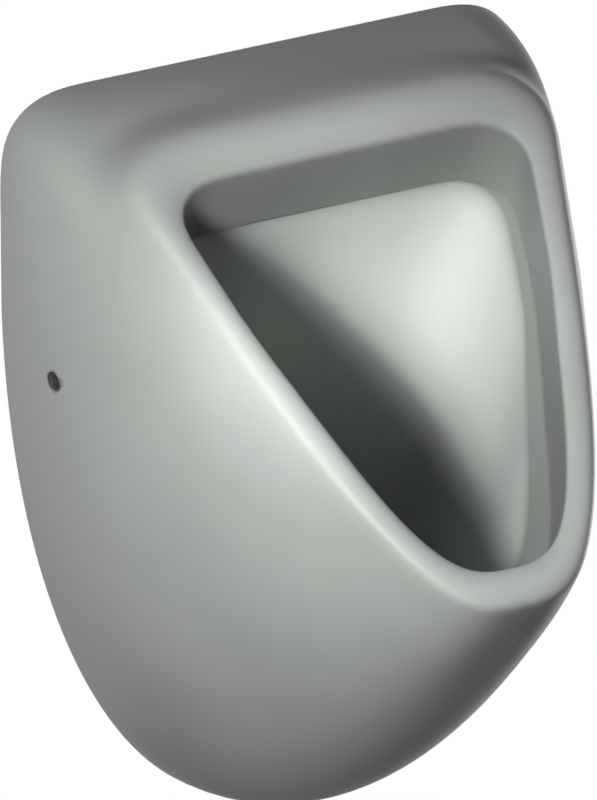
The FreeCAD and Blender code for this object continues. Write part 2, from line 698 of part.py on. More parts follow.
inlet_lip_ring = lip_ring("inlet_lip_ring", "inlet_pipe_r", SOCKET_GROOVE, "inlet_groove_f",
                          INLET_GROOVE_END, AT_INLET)
inlet_seal = turned("inlet_seal",
                    [("inlet_neck_r + fit", "inlet_shoulder_f"), ("inlet_seal_r", "inlet_shoulder_f"),
                     ("inlet_seal_r", "inlet_seat_f"), ("inlet_hole_r - fit", "inlet_seat_f"),
                     ("inlet_hole_r - fit", "slot_back_f"), ("inlet_neck_r + fit", "slot_back_f")],
                    TO_FRONT, AT_INLET)
inlet_washer = ring("inlet_washer", "inlet_neck_r + thread_gap", "inlet_washer_r", "slot_back_f",
                    "slot_back_f + inlet_washer", TO_FRONT, AT_INLET)
INLET_NUT_F = "(slot_back_f + inlet_washer)"
inlet_nut_block = hexagon("inlet_nut_block", "inlet_nut_r", "inlet_nut_thick", TO_FRONT,
                          ("0", "-" + INLET_NUT_F, "inlet_z"))
inlet_nut_thread = cylinder("inlet_nut_thread", "inlet_neck_r + thread_gap", "slot_front_f", TO_FRONT,
                            AT_INLET)
inlet_nut = combine("Cut", "inlet_nut", inlet_nut_block, inlet_nut_thread)
HEAD_RING_F = "(slot_back_f + inlet_washer + inlet_nut_thick + ring_round + ring_play)"
spray_head_ring = primitive("Torus", "spray_head_ring",
                            {"Radius1": "inlet_neck_r + ring_round + ring_play", "Radius2": "ring_round"},
                            TO_FRONT, ("0", "-" + HEAD_RING_F, "inlet_z"))
HEAD_SKIRT_F = HEAD_RING_F + " + ring_round + ring_play"
HEAD_BORE = "(inlet_neck_r + thread_gap)"
spray_cap = turned("spray_cap",
                   [(HEAD_BORE, HEAD_SKIRT_F), ("head_r", HEAD_SKIRT_F),
                    ("head_r", "head_face_f - head_wall"), ("head_r - head_wall", "head_face_f"),
                    ("0", "head_face_f"), ("0", "head_face_f - head_wall"),
                    (HEAD_BORE, "head_face_f - head_wall")], TO_FRONT, AT_INLET)
spray_jets = []
for row in range(3):
    for side in (-1, 0, 1):
        jet = cylinder("spray_jet", "head_hole_r", "2 * head_r", FreeCAD.Rotation(FORWARD, 180),
                       ("0", "-(inlet_end_f + head_hole_r + head_hole_step * %d)" % row, "inlet_z"))
        jet.setExpression("Placement.Rotation.Angle", bound("180 + head_hole_fan * %d" % side))
        spray_jets.append(jet)
spray_head = combine("Cut", "spray_head", spray_cap, joined("spray_holes", spray_jets))

# Waste: a flanged tube clamps the ceramic between two gaskets with a back nut.

LEDGE = "-recess_depth"
DISC_LOW = "(top_gasket - recess_depth)"
DISC_TOP = "(top_gasket - recess_depth + flange_thick)"
waste_top_gasket = ring("waste_top_gasket", "drain_hole_r", "top_gasket_r", LEDGE, DISC_LOW, UPRIGHT,
                        AT_DRAIN)
waste_flange = turned("waste_flange",
                      [("flange_mouth_r", DISC_TOP), ("flange_r - flange_edge", DISC_TOP),
                       ("flange_r", DISC_TOP + " - flange_edge"), ("flange_r", DISC_LOW),
                       ("flange_tube_r", DISC_LOW), ("flange_tube_r", "-flange_tube_end"),
                       ("flange_bore_r", "-flange_tube_end"), ("flange_bore_r", "-flange_seat"),
                       ("flange_mouth_r", "-flange_seat")], UPRIGHT, AT_DRAIN)
GASKET_LOW = "(-boss_thick - low_gasket)"
NUT_LOW = "(-boss_thick - low_gasket - back_nut_thick)"
COLLAR_TOP = "(-boss_thick - low_gasket - back_nut_thick - housing_seal)"
waste_low_gasket = ring("waste_low_gasket", "flange_tube_r + fit", "low_gasket_r", GASKET_LOW, "-boss_thick",
                        UPRIGHT, AT_DRAIN)
waste_back_nut = ring("waste_back_nut", "flange_tube_r + thread_gap", "back_nut_r", NUT_LOW, GASKET_LOW,
                      UPRIGHT, AT_DRAIN)
nut_notch = drilled(waste_back_nut, "XY_Plane", "back_nut_r", "0", "back_nut_notch")
repeated(waste_back_nut, nut_notch, 8)
trap_seal = ring("trap_seal", "flange_tube_r + fit", "housing_collar_r", COLLAR_TOP, NUT_LOW, UPRIGHT,
                 AT_DRAIN)

# Trap housing: a cup screwed on the flange tube, with a socket for the waste pipe towards the wall.

THREAD = "(flange_tube_r + thread_gap)"
COLLAR_LOW = COLLAR_TOP + " - housing_collar"
CUP_LOW = "(-cup_floor - cup_floor_thick)"
OUTLET_SOCKET = "(outlet_pipe_r + fit)"
OUTLET_GROOVE = "(outlet_pipe_r + fit + outlet_groove_deep)"
OUTLET_GROOVE_END = "(outlet_groove_f + outlet_groove)"
AT_OUTLET = ("0", "0", "drain_z - outlet_drop")
cup_block = turned("cup_block",
                   [("0", COLLAR_TOP), ("housing_collar_r", COLLAR_TOP), ("housing_collar_r", COLLAR_LOW),
                    ("cup_r", COLLAR_LOW + " - (housing_collar_r - cup_r)"),
                    ("cup_r", CUP_LOW + " + cup_edge"),
                    ("cup_r - cup_edge", CUP_LOW), ("0", CUP_LOW)], UPRIGHT, AT_DRAIN)
outlet_block = turned("outlet_block",
                      [("0", "pipe_gap_f"), (OUTLET_GROOVE + " + outlet_wall", "pipe_gap_f"),
                       (OUTLET_GROOVE + " + outlet_wall", OUTLET_GROOVE_END + " + outlet_bead"),
                       (OUTLET_SOCKET + " + outlet_wall", OUTLET_GROOVE_END + " + 2 * outlet_bead"),
                       (OUTLET_SOCKET + " + outlet_wall", "outlet_socket_f"),
                       ("outlet_neck_r", "outlet_socket_f + outlet_step"), ("outlet_neck_r", "drain_f"),
                       ("0", "drain_f")], TO_FRONT, AT_OUTLET)
cup_cavity = turned("cup_cavity",
                    [("0", COLLAR_TOP + " + wall"), (THREAD, COLLAR_TOP + " + wall"), (THREAD, COLLAR_LOW),
                     ("cup_bore_r", COLLAR_LOW), ("cup_bore_r", "-cup_floor"), ("0", "-cup_floor")],
                    UPRIGHT, AT_DRAIN)
outlet_cavity = turned("outlet_cavity",
                       [("0", "pipe_gap_f - wall"), (OUTLET_SOCKET, "pipe_gap_f - wall"),
                        (OUTLET_SOCKET, "outlet_groove_f"),
                        (OUTLET_GROOVE, "outlet_groove_f"), (OUTLET_GROOVE, OUTLET_GROOVE_END),
                        (OUTLET_SOCKET, OUTLET_GROOVE_END), (OUTLET_SOCKET, "outlet_socket_f"),
                        ("outlet_bore_r", "outlet_socket_f"), ("outlet_bore_r", "drain_f"),
                        ("0", "drain_f")],
                       TO_FRONT, AT_OUTLET)
trap_housing = combine("Cut", "trap_housing", combine("Fuse", "trap_block", cup_block, outlet_block),
                       combine("Fuse", "trap_cavity", cup_cavity, outlet_cavity))
outlet_lip_ring = lip_ring("outlet_lip_ring", "outlet_pipe_r", OUTLET_GROOVE, "outlet_groove_f",
                           OUTLET_GROOVE_END,
                           AT_OUTLET)

# Trap insert: a dip tube that lifts out of the flange, with a sealing ring and a drop-in strainer.

INSERT_R = "(flange_bore_r - 2 * fit)"
INSERT_TOP = "(insert_flange - flange_seat)"
RING_R = "(flange_bore_r - fit - insert_ring_round)"
GROOVE_R = "(flange_bore_r - fit - 2 * insert_ring_round - ring_play)"
GROOVE_HIGH = "-insert_groove + insert_ring_round + ring_play"
GROOVE_DEEP = "-insert_groove - insert_ring_round - ring_play"
trap_insert = turned("trap_insert",
                     [("insert_bore_r", INSERT_TOP), ("flange_mouth_r - fit", INSERT_TOP),
                      ("flange_mouth_r - fit", "-flange_seat"), (INSERT_R, "-flange_seat"),
                      (INSERT_R, GROOVE_HIGH),
                      (GROOVE_R, GROOVE_HIGH), (GROOVE_R, GROOVE_DEEP), (INSERT_R, GROOVE_DEEP),
                      (INSERT_R, "-dip_start"), ("dip_r", "-dip_start - dip_taper"), ("dip_r", "-dip_end"),
                      ("dip_bore_r", "-dip_end"), ("dip_bore_r", "-dip_start - dip_taper"),
                      ("insert_bore_r", "-dip_start")], UPRIGHT, AT_DRAIN)
insert_ring = primitive("Torus", "insert_ring", {"Radius1": RING_R, "Radius2": "insert_ring_round"}, UPRIGHT,
                        ("0", "-drain_f", "drain_z - insert_groove"))
SKIRT_R = "(insert_bore_r - fit)"
STRAINER_TOP = "(insert_flange - flange_seat + strainer_thick)"
strainer = turned("strainer",
                  [("0", INSERT_TOP), (SKIRT_R + " - strainer_skirt_thick", INSERT_TOP),
                   (SKIRT_R + " - strainer_skirt_thick", INSERT_TOP + " - strainer_skirt"),
                   (SKIRT_R, INSERT_TOP + " - strainer_skirt"), (SKIRT_R, INSERT_TOP),
                   ("flange_mouth_r - fit", INSERT_TOP), ("flange_mouth_r - fit", STRAINER_TOP),
                   ("strainer_hub_r", STRAINER_TOP), ("strainer_hub_r", STRAINER_TOP + " + strainer_hub"),
                   ("0", STRAINER_TOP + " + strainer_hub")], UPRIGHT, AT_DRAIN)
repeated(strainer, drilled(strainer, "XY_Plane", "strainer_ring_one", "0", "strainer_hole_r"), 8)
repeated(strainer, drilled(strainer, "XY_Plane", "strainer_ring_two", "0", "strainer_hole_r"), 12)

PIECES = [ceramic_body, left_wall_bracket, right_wall_bracket, bracket_nuts, fixing_screws, fixing_sleeves,
          inlet_spigot, inlet_lip_ring, inlet_seal, inlet_washer, inlet_nut, spray_head_ring, spray_head,
          waste_top_gasket, waste_flange, waste_low_gasket, waste_back_nut, trap_seal, trap_housing,
          outlet_lip_ring, trap_insert, insert_ring, strainer]
doc.recompute()
for item in doc.Objects:
    if "Invalid" in item.State or "Error" in item.State:
        raise RuntimeError("%s did not recompute" % item.Label)
for piece in PIECES:
    if piece.Shape.isNull() or not piece.Shape.isValid() or not piece.Shape.Solids:
        raise RuntimeError("%s is not a valid solid" % piece.Label)
os.makedirs("parts", exist_ok=True)
for piece in PIECES:
    piece.Shape.exportStep("parts/%s.step" % piece.Label)
    print(piece.Label, len(piece.Shape.Solids), round(piece.Shape.Volume))
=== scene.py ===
import bmesh
import bpy
import math
import numpy as np
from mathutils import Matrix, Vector


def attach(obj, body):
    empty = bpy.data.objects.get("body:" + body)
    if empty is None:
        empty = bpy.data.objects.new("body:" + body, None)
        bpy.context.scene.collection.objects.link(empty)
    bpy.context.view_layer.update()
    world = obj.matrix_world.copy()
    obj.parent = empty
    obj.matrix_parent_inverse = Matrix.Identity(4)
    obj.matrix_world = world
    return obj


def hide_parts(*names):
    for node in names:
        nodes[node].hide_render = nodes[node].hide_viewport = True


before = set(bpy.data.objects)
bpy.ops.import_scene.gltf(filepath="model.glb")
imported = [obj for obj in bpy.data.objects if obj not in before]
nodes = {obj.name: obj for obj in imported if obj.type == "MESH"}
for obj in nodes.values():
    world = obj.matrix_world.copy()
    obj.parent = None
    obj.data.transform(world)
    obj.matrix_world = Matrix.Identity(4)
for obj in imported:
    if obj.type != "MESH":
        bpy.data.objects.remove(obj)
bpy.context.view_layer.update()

# Ceramic body. Vitreous china, slip cast as one hollow shell, glazed grey in front and left bare
# behind, where its ground edge meets the wall. Side screws hold it to the brackets. Its mesh follows
# three nets of control loops: the outside with rim and band, the bowl, and the rear hollow.

# Sizes are in millimetres. Values in threes are for the top, the side and the bottom.
MM = 0.001
RIGHT, FORWARD, UP = np.array([1.0, 0, 0]), np.array([0, -1.0, 0]), np.array([0, 0, 1.0])
LOOP_POINTS = 64
COLUMNS = 256

HALF_WIDTH, TOP_Z, BOTTOM_Z, WIDE_Z = 170, 160, -326, 25
BACK_CORNER, BACK_POWER, BACK_TAPER = 38, 2.12, 0.0002
RIM_TOP, RIM_LOW = (80, 157), (330, -62)
RIM_WIDE, RIM_HALF, RIM_CORNER, RIM_POWER, RIM_TAPER = 112, 119, 50, 3.4, 0.0021
DRAFT, TURN = (0.02, 0.07, 0.15), (51, 25, 3)
REACH_WALL, REACH_RIM = (0.33, 0.33, 0.24), (0.22, 0.22, 0.16)
RIM_ROUND, RIM_WIDTH = (22, 12, 12), (34, 18, 27)
RIM_CROWN, CROWN_SHARE, RIM_ROLL, ROLL_SHARE = 1.5, 0.48, 1.2, 0.94
BAND_BACK, BAND_DOWN, BAND_OUT, BAND_SHARES = 22, 46, 4, (0.1, 0.55, 1)
STRIP_BACK, STRIP_IN, STRIP_SHARES = (20, 4, 24), 5, (0.4, 0.85)
DRAIN_F, DRAIN_Z, MOUTH_R = 92, -147, 40
DISH = (16, 40, 14)
DISH_LOOPS = ((0.03, 0.05, 0.1), (0.12, 0.45, 0.55), (0.30, 0.9, 1.0), (0.55, 1.0, 1.0), (0.80, 1.0, 0.6))
WALL, WALL_LOW, FRONT, DISH_BEHIND = 10, 14, (0.3, 0.75, 0.55), (6, 7, 8)
BOSS_R, BOSS_THICK = 50, 12
RECESS_R, RECESS_DEPTH, DRAIN_HOLE_R = 39, 4, 31
CHANNEL = ((50, 142), (76, 142), (76, 84), (66, 84), (50, 100))
CHANNEL_HALF = 72
INLET_Z, INLET_BOSS_R, INLET_SEAT_R, INLET_HOLE_R = 121, 30, 26, 15.5
INLET_SEAT_F, INLET_BOSS_END, INLET_HOLE_END, INLET_OVER = 34, 60, 66, 5
FIX_F, FIX_HOLE_R, FIX_SPOT_R = 53, 5.4, 11
FIX_LIP, FIX_LIP_SINK, FIX_LIP_ROWS, FIX_SIDES = 1.0, 0.8, 6, 48
SIDE_INNER, SIDE_SPOT, SIDE_OUTER, SIDE_OVER = 142.6, 154.6, 162.2, 4
TINY = 1e-12


def by_angle(cosine, values):
    """Square of the cosine blends the side's value into the top's value above and the bottom's below."""
    top, side, low = values
    return side + (np.where(cosine > 0, top, low) - side) * cosine ** 2


def shield(angle, half, above, below, corner, power, taper):
    """Outline by polar angle: the nearer side of a rectangle with circular corners above the middle,
    a superellipse below it, and a width that grows or shrinks in proportion to the height."""
    across = np.maximum(np.abs(np.sin(angle)), TINY)
    upright = np.cos(angle)
    upper = np.maximum(upright, TINY)
    reach = np.minimum(half / across, above / upper)
    flat_x, flat_y = half - corner, above - corner
    middle = across * flat_x + upper * flat_y
    rounded = middle + np.sqrt(np.maximum(middle ** 2 - flat_x ** 2 - flat_y ** 2 + corner ** 2, 0))
    in_corner = (reach * across > flat_x) & (reach * upper > flat_y)
    reach = np.where(in_corner, rounded, reach)
    oval = ((across / half) ** power + (np.abs(upright) / below) ** power) ** (-1 / power)
    reach = np.where(upright > 0, reach, oval)
    rise = reach * upright
    return np.sign(np.sin(angle)) * reach * across * (1 + taper * rise), rise


def point(x, f, z):
    """Points from how far right, in front of the wall and up they lie."""
    x, f, z = np.broadcast_arrays(x, f, z)
    return np.stack([x, -f, z], -1).astype(float)


def unit(vectors):
    """Vectors divided by their own lengths."""
    return vectors / np.linalg.norm(vectors, axis=-1, keepdims=True)


rim_run = point(0, RIM_LOW[0] - RIM_TOP[0], RIM_LOW[1] - RIM_TOP[1])
rim_length = np.linalg.norm(rim_run)
rim_down = rim_run / rim_length
rim_out = -FORWARD * rim_down[2] + UP * (rim_down @ FORWARD)
rim_middle = point(0, *RIM_TOP) + rim_down * RIM_WIDE
loop = 2 * math.pi * np.arange(LOOP_POINTS) / LOOP_POINTS
sine, cosine = np.sin(loop)[:, None], np.cos(loop)[:, None]
band = point(0, -BAND_BACK, -BAND_DOWN) + RIGHT * BAND_OUT * sine


def wall_line(inset):
    """The shield outline on the wall plane, made smaller by inset."""
    taper = np.where(np.cos(loop) < 0, BACK_TAPER, 0)
    x, rise = shield(loop, HALF_WIDTH - inset, TOP_Z - WIDE_Z - inset, WIDE_Z - BOTTOM_Z - inset,
                     BACK_CORNER - inset, BACK_POWER, taper)
    return point(x, 0, WIDE_Z + rise)


def rim_width():
    """Width of the rim face: the top's or the bottom's value, blended into the side's value by the fourth
    power of the sine."""
    top, side, low = RIM_WIDTH
    return side + (np.where(np.cos(loop) > 0, top, low) - side) * (1 - np.sin(loop) ** 4)


def rim_line(share, lift=0):
    """The shield outline on the sloping rim plane, raised by lift and made smaller by a share of the rim's
    width: the top's and the side's own width above the middle, the blended width below it."""
    top, side = RIM_WIDTH[:2]
    width = rim_width()
    across = np.where(np.cos(loop) > 0, side, width)
    x, rise = shield(loop, RIM_HALF - share * across, RIM_WIDE - share * top,
                     rim_length - RIM_WIDE - share * width, RIM_CORNER - share * side, RIM_POWER, RIM_TAPER)
    return rim_middle + RIGHT * x[:, None] - rim_down * rise[:, None] + rim_out * lift


def outside_net():
    """Control loops that leave the wall with a draft, arrive at the rim with a lean, cross the crowned
    rim and run straight down the band."""
    leave = unit(FORWARD - (RIGHT * sine + UP * cosine) * by_angle(cosine, DRAFT))
    lean = np.radians(by_angle(cosine, TURN))
    arrive = rim_out * np.cos(lean) - (RIGHT * sine - rim_down * cosine) * np.sin(lean)
    start, edge, lip = wall_line(0), rim_line(0), rim_line(1)
    span = np.linalg.norm(edge - start, axis=1, keepdims=True)
    rounding = by_angle(cosine, RIM_ROUND)
    side = [start, start + leave * span * by_angle(cosine, REACH_WALL),
            edge - arrive * (rounding + span * by_angle(cosine, REACH_RIM)), edge - arrive * rounding]
    rim = [edge, rim_line(CROWN_SHARE, RIM_CROWN), rim_line(ROLL_SHARE, -RIM_ROLL)]
    return np.stack(side + rim + [lip + band * share for share in BAND_SHARES], 1)


def bowl_net():
    """Control loops that go back from the band's edge over the strip, then shrink towards the drain's
    circle while they bulge behind the straight line and turn from the rim's shape into an oval."""
    edge = rim_line(1) + band
    back = by_angle(cosine, STRIP_BACK)
    crease = edge - FORWARD * back + (rim_down * cosine - RIGHT * sine) * STRIP_IN
    margin = rim_width()[:, None] + STRIP_IN
    reach = np.where(cosine > 0, RIM_WIDE, rim_length - RIM_WIDE) - margin
    oval = rim_middle + band - FORWARD * back + RIGHT * (RIM_HALF - margin) * sine - rim_down * reach * cosine
    mouth = point(MOUTH_R * sine, DRAIN_F - MOUTH_R * cosine, DRAIN_Z)[:, 0]
    bulge = rim_out * by_angle(cosine, DISH)
    strip = [edge * (1 - share) + crease * share for share in STRIP_SHARES]
    dish = []
    for share, roundness, depth in DISH_LOOPS:
        outline = crease + (oval - crease) * roundness
        dish.append(outline + (mouth - outline) * share - bulge * depth)
    return np.stack([edge] + strip + [crease] + dish + [mouth], 1)


def behind(net, k, depth):
    """Control loop k moved into the wall by depth along the cross product of the net's two directions."""
    around = np.roll(net[:, k], -1, 0) - np.roll(net[:, k], 1, 0)
    return net[:, k] - unit(np.cross(net[:, k + 1] - net[:, k - 1], around)) * depth


def hollow_net(outside, bowl):
    """Control loops of the rear hollow: a wall's thickness behind the outside, then behind the bowl."""
    skin = by_angle(cosine, (WALL, WALL, WALL_LOW))
    base = wall_line(WALL)
    near, far = behind(outside, 1, skin), behind(outside, 2, skin)
    front = near + (far - near) * by_angle(cosine, FRONT)
    dish = [behind(bowl, k, WALL) for k in DISH_BEHIND]
    flat = point(BOSS_R * sine, DRAIN_F - BOSS_R * cosine, DRAIN_Z - BOSS_THICK)[:, 0]
    return np.stack([base - FORWARD * WALL, base, near, front, (front + dish[0]) / 2] + dish + [flat], 1)


def columns_of(net):
    """Uniform cubic B-spline round the closed control loops, read at evenly spaced columns."""
    place = LOOP_POINTS * np.arange(COLUMNS) / COLUMNS
    first = np.floor(place).astype(int)
    t = (place - first)[:, None, None]
    weights = ((1 - t) ** 3, 3 * t ** 3 - 6 * t ** 2 + 4, -3 * t ** 3 + 3 * t ** 2 + 3 * t + 1, t ** 3)
    return sum(w * net[(first + i - 1) % LOOP_POINTS] for i, w in enumerate(weights)) / 6


def along(columns, place):
    """Clamped cubic B-spline down each column, by the Cox and de Boor recursion on whole arrays. Places are
    kept just inside the last span."""
    count = columns.shape[1]
    knots = np.concatenate([[0] * 3, np.arange(count - 2), [count - 3] * 3]).astype(float)
    place = np.clip(place, 0, count - 3 - 1e-9)[..., None]
    weight = ((place >= knots[:-1]) & (place < knots[1:])).astype(float)
    for degree in (1, 2, 3):
        size = len(knots) - 1 - degree
        low, high = knots[degree:degree + size] - knots[:size], knots[degree + 1:] - knots[1:size + 1]
        rising = (place - knots[:size]) / np.where(low > 0, low, 1)
        falling = (knots[degree + 1:] - place) / np.where(high > 0, high, 1)
        weight = rising * weight[..., :-1] + falling * weight[..., 1:]
    return np.einsum("rck,ckx->rcx", np.broadcast_to(weight, weight.shape[:1] + (COLUMNS, count)), columns)


# Mesh rows lie at places down each net, given by start, end and count. Corners between nets are softened
# over a length to each side.
OUTSIDE_PLACES = ((0.03, 2.6, 70), (2.64, 6.94, 70))
BOWL_END = 6.97
BOWL_PLACES = ((0.15, 3, 44), (3.05, BOWL_END, 50))
HOLLOW_END, HOLLOW_SHARES = 6, (0.985, 0.012, 44)
SOFT_ROWS = 6
BAND_SOFT, DRAIN_SOFT, BACK_INNER_SOFT, BACK_OUTER_SOFT = 2.2, 0.8, 1.0, 1.2
HALVINGS = 40


def rows(start, end, count):
    """Evenly spaced places from start to end, one to a row."""
    return np.linspace(start, end, count)[:, None]


def softened(before, corner, after, length):
    """Quadratic Bezier that rounds a corner, from one length before it to one length after it."""
    first = corner + unit(before - corner) * length
    last = corner + unit(after - corner) * length
    t = np.linspace(0, 1, SOFT_ROWS)[:, None, None]
    return first * (1 - t) ** 2 + 2 * corner * t * (1 - t) + last * t ** 2


outside, bowl = outside_net(), bowl_net()
hollow = columns_of(hollow_net(outside, bowl))
outside, bowl = columns_of(outside), columns_of(bowl)
turn = 2 * math.pi * np.arange(COLUMNS) / COLUMNS


def drain_ring(radius, drop):
    """Circle about the drain's axis, below its mouth by drop."""
    return point(radius * np.sin(turn), DRAIN_F - radius * np.cos(turn), DRAIN_Z - drop)


def wall_crossing():
    """Place on each column of the hollow where it passes the wall plane, found by halving the interval."""
    low, high = np.zeros((1, COLUMNS)), np.ones((1, COLUMNS))
    for _ in range(HALVINGS):
        middle = (low + high) / 2
        in_wall = along(hollow, middle)[..., 1] > 0
        low, high = np.where(in_wall, middle, low), np.where(in_wall, high, middle)
    return low


opening = wall_crossing()
back_outer, back_inner = along(outside, rows(0, 0, 1))[0], along(hollow, opening)[0]
band_edge = along(bowl, rows(0, 0, 1))[0]
drain_path = [along(bowl, rows(BOWL_END, BOWL_END, 1))[0]]
for radius, drop in ((RECESS_R, 0), (RECESS_R, RECESS_DEPTH), (DRAIN_HOLE_R, RECESS_DEPTH),
                     (DRAIN_HOLE_R, BOSS_THICK), (BOSS_R, BOSS_THICK)):
    drain_path.append(drain_ring(radius, drop))
outside_place = np.concatenate([rows(*span) for span in OUTSIDE_PLACES])
bowl_place = np.concatenate([rows(*span) for span in BOWL_PLACES])
outside_rows, bowl_rows = along(outside, outside_place), along(bowl, bowl_place)
hollow_rows = along(hollow, opening + (HOLLOW_END - opening) * rows(*HOLLOW_SHARES))
body_rows = [outside_rows, softened(outside_rows[-1], band_edge, bowl_rows[0], BAND_SOFT), bowl_rows]
for corner in range(1, len(drain_path) - 1):
    body_rows.append(softened(*drain_path[corner - 1:corner + 2], DRAIN_SOFT))
glazed_rows = sum(len(part) for part in body_rows)
body_rows += [hollow_rows, softened(hollow_rows[-1], back_inner, back_outer, BACK_INNER_SOFT),
              softened(back_inner, back_outer, outside_rows[0], BACK_OUTER_SOFT)]


def ring_faces(count, across, closed):
    """Corner numbers of the quads between neighbouring rings of points; the last ring may join the first."""
    index = np.arange(count * across).reshape(count, across)
    lower = index if closed else index[:-1]
    upper = np.roll(index, -1, 0) if closed else index[1:]
    quads = np.stack([lower, upper, np.roll(upper, -1, 1), np.roll(lower, -1, 1)], -1)
    return quads.reshape(-1, 4).tolist()


def ring_mesh(name, points, closed=False):
    """Skin over rings of points in millimetres: a closed tube of rings, or one with a flat face at each end
    and its normals turned outwards."""
    count, across = points.shape[:2]
    faces = ring_faces(count, across, closed)
    if not closed:
        faces += [list(range(across)), list(range((count - 1) * across, count * across))]
    mesh = bpy.data.meshes.new(name)
    mesh.from_pydata((points.reshape(-1, 3) * MM).tolist(), [], faces)
    if not closed:
        work = bmesh.new()
        work.from_mesh(mesh)
        bmesh.ops.recalc_face_normals(work, faces=work.faces)
        work.to_mesh(mesh)
        work.free()
    mesh.polygons.foreach_set("use_smooth", np.ones(len(mesh.polygons), bool))
    return mesh


def turned(name, profile, centre, axis, sides=64):
    """Surface of revolution: each pair of radius and height in the profile becomes a ring about the axis."""
    radius, height = np.array(profile, float).T[..., None]
    angle = 2 * math.pi * np.arange(sides) / sides
    first = np.roll(axis, 1)
    second = np.cross(axis, first)
    out = first * np.cos(angle)[:, None] + second * np.sin(angle)[:, None]
    return ring_mesh(name, centre + axis * height[..., None] + out * radius[..., None])


def shown(name, data):
    """New object in the scene for a finished mesh, a light or a camera."""
    piece = bpy.data.objects.new(name, data)
    bpy.context.scene.collection.objects.link(piece)
    return piece


def worked(piece, operation, tool_mesh, skin):
    """Joins a closed mesh to a piece or cuts it out of the piece; the new faces get the finish numbered
    skin."""
    tool_mesh.polygons.foreach_set("material_index", np.full(len(tool_mesh.polygons), skin, np.int32))
    tool = shown("tool", tool_mesh)
    change = piece.modifiers.new("work", "BOOLEAN")
    change.operation = operation
    change.solver = "EXACT"
    change.object = tool
    view = bpy.context.evaluated_depsgraph_get()
    result = bpy.data.meshes.new_from_object(piece.evaluated_get(view))
    piece.modifiers.clear()
    before = piece.data
    piece.data = result
    bpy.data.objects.remove(tool)
    bpy.data.meshes.remove(tool_mesh)
    bpy.data.meshes.remove(before)


def feed(tree, socket, value):
    """Links another node's output to a socket, or sets a plain value on it."""
    if isinstance(value, bpy.types.NodeSocket):
        tree.links.new(value, socket)
    else:
        socket.default_value = value


def node(tree, kind, **inputs):
    """New shader node. An input is a plain value or another node's output."""
    made = tree.nodes.new("ShaderNode" + kind)
    for name, value in inputs.items():
        feed(tree, made.inputs[name.replace("_", " ")], value)
    return made


def noise(tree, place, scale, detail, roughness=0.5):
    """Noise from 0 to 1 over a piece's coordinates."""
    return node(tree, "TexNoise", Vector=place, Scale=scale, Detail=detail, Roughness=roughness).outputs[0]


def between(tree, value, low, high, start=0.0, end=1.0):
    """A value from start to end, carried over to the span from low to high."""
    span = node(tree, "MapRange", Value=value, From_Min=start, From_Max=end, To_Min=low, To_Max=high)
    return span.outputs[0]


def combined(tree, operation, first, second):
    """Sum, product or larger one of two values, by the named operation."""
    made = node(tree, "Math")
    made.operation = operation
    feed(tree, made.inputs[0], first)
    feed(tree, made.inputs[1], second)
    return made.outputs[0]


def tinted(tree, share, first, second):
    """Colour that goes from the first to the second by share. Sockets 6 and 7 are the node's colours."""
    mix = node(tree, "Mix")
    mix.data_type = "RGBA"
    feed(tree, mix.inputs[0], share)
    for socket, colour in ((mix.inputs[6], first), (mix.inputs[7], second)):
        feed(tree, socket, colour if isinstance(colour, bpy.types.NodeSocket) else (*colour, 1))
    return mix.outputs[2]


def finish(name):
    """New material; gives it with its tree, its Principled shader and the piece's own coordinates."""
    made = bpy.data.materials.new(name)
    made.use_nodes = True
    tree = made.node_tree
    return made, tree, tree.nodes["Principled BSDF"], node(tree, "TexCoord").outputs["Object"]


def painted(tree, shader, colour, roughness):
    """Gives a shader its colour and its roughness."""
    feed(tree, shader.inputs["Base Color"], colour)
    feed(tree, shader.inputs["Roughness"], roughness)


def relief(tree, shader, height, strength, distance):
    """Bump from a height in the range from 0 to 1, over a distance in metres."""
    bump = node(tree, "Bump", Height=height, Strength=strength, Distance=distance)
    tree.links.new(bump.outputs["Normal"], shader.inputs["Normal"])


def eased(value, start, end):
    """Smooth step from 0 at start to 1 at end."""
    share = np.clip((value - start) / (end - start), 0, 1)
    return share * share * (3 - 2 * share)


# The glaze's colour holds painted light and painted shade: lighter over the rim, darker on the band and in
# the crease, with random mottling. It ripples like the skin of an orange and holds a few fine specks.
GLAZE_SHADED, GLAZE_LIT, GLAZE_SPECK = (0.200, 0.211, 0.197), (0.672, 0.706, 0.671), (0.33, 0.345, 0.32)
GLAZE_SHEEN = 0.22
glaze, tree, shader, place = finish("grey_glaze")
cloud = noise(tree, place, scale=9, detail=2)
# The mesh attribute read here is painted light and shade, from 0 for dark to 1 for light.
shading_node = node(tree, "Attribute")
shading_node.attribute_name = "painted_light_and_shade"
cells = node(tree, "TexVoronoi", Vector=place, Scale=330)
dot = between(tree, cells.outputs["Distance"], 1, 0, start=0.07, end=0.13)
chance = node(tree, "SeparateColor", Color=cells.outputs["Color"]).outputs[0]
speck = combined(tree, "MULTIPLY", dot, between(tree, chance, 0, 1, start=0.90, end=0.93))
# Painted light and shade plus random cloud mottling move the colour from the painted-shade grey to the
# painted-light grey.
share = combined(tree, "ADD", shading_node.outputs["Fac"], between(tree, cloud, -0.12, 0.12))
coat = tinted(tree, share, GLAZE_SHADED, GLAZE_LIT)
painted(tree, shader, tinted(tree, speck, coat, GLAZE_SPECK), between(tree, cloud, 0.36, 0.5))
shader.inputs["Specular IOR Level"].default_value = GLAZE_SHEEN
ripple = noise(tree, place, scale=210, detail=2, roughness=0.4)
relief(tree, shader, ripple, strength=0.05, distance=0.0006)

